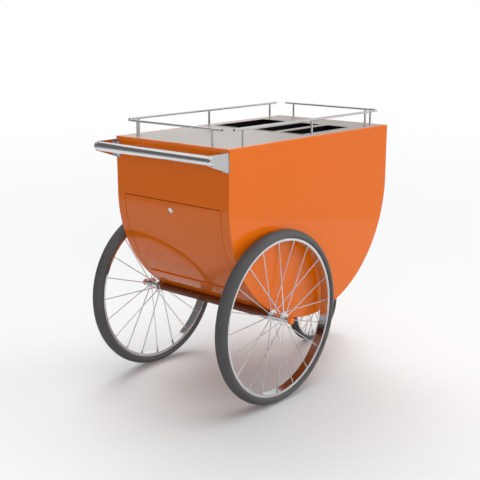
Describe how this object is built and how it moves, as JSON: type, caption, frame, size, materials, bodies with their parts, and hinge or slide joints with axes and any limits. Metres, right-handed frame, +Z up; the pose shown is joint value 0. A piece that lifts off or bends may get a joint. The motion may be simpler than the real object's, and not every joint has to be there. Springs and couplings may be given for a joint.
{
  "type": "ice cream cart",
  "caption": "Push cart with a round-bottomed box body, a worktop with open wells and low rails, large spoked rear wheels, a small swivelling front wheel and a drop-down rear flap.",
  "frame": {"origin": "on the floor, in the middle of the cart's length and width", "axes": "+X forward, away from the push handle; +Y to the left; +Z up"},
  "size_m": [1.142, 0.7854, 1.0375],
  "materials": {
    "orange_paint": "glossy clear-coated orange paint",
    "tyre": "plain dark grey rubber",
    "well_liner": "black moulded liner",
    "worktop_steel": "fine brushed stainless steel",
    "polished_steel": "polished",
    "plain_steel": "plain bright steel"
  },
  "bodies": {
    "cart": {"side_panel_left": "orange_paint", "side_panel_right": "orange_paint", "shell_front": "orange_paint", "shell_belly": "orange_paint", "shell_rear_top": "orange_paint", "shell_rear_left": "orange_paint", "shell_rear_right": "orange_paint", "rim_left": "orange_paint", "rim_right": "orange_paint", "rim_front": "orange_paint", "rim_rear": "orange_paint", "worktop": "worktop_steel", "well_left": "well_liner", "well_middle": "well_liner", "well_right": "well_liner", "rail_left": "polished_steel", "rail_right": "polished_steel", "rail_front": "polished_steel", "rail_rear": "polished_steel", "handle_tube": "polished_steel", "handle_bracket_left": "polished_steel", "handle_bracket_right": "polished_steel", "axle_tube": "orange_paint", "axle_stub_left": "plain_steel", "axle_stub_right": "plain_steel", "axle_cap_left": "orange_paint", "axle_cap_right": "orange_paint", "castor_housing": "orange_paint", "body_hinge_leaf": "orange_paint", "hinge_pin": "orange_paint"},
    "left_wheel": {"left_tyre": "tyre", "left_rim": "polished_steel", "left_spokes": "plain_steel", "left_hub": "polished_steel"},
    "right_wheel": {"right_tyre": "tyre", "right_rim": "polished_steel", "right_spokes": "plain_steel", "right_hub": "polished_steel"},
    "fork": {"fork_crown": "orange_paint", "fork_blade_left": "orange_paint", "fork_blade_right": "orange_paint", "front_spindle": "plain_steel"},
    "front_wheel": {"front_tyre": "tyre", "front_rim": "polished_steel", "front_spokes": "plain_steel", "front_hub": "polished_steel"},
    "flap": {"door_panel": "orange_paint", "door_lock": "polished_steel", "door_hinge_leaf": "orange_paint"}
  },
  "joints": [
    {"name": "left_wheel_spin", "type": "hinge", "parent": "cart", "child": "left_wheel", "pos_m": [-0.23788, 0.325, 0.33], "axis": [0, 1, 0], "continuous": true},
    {"name": "right_wheel_spin", "type": "hinge", "parent": "cart", "child": "right_wheel", "pos_m": [-0.23788, -0.325, 0.33], "axis": [0, 1, 0], "continuous": true},
    {"name": "fork_swivel", "type": "hinge", "parent": "cart", "child": "fork", "pos_m": [0.35802, 0, 0.35], "axis": [0, 0, 1], "continuous": true},
    {"name": "front_wheel_spin", "type": "hinge", "parent": "fork", "child": "front_wheel", "pos_m": [0.41202, 0, 0.159], "axis": [0, 1, 0], "continuous": true},
    {"name": "flap_hinge", "type": "hinge", "parent": "cart", "child": "flap", "pos_m": [-0.34196, 0, 0.43262], "axis": [0, -1, 0], "range_deg": [0, 95]}
  ]
}
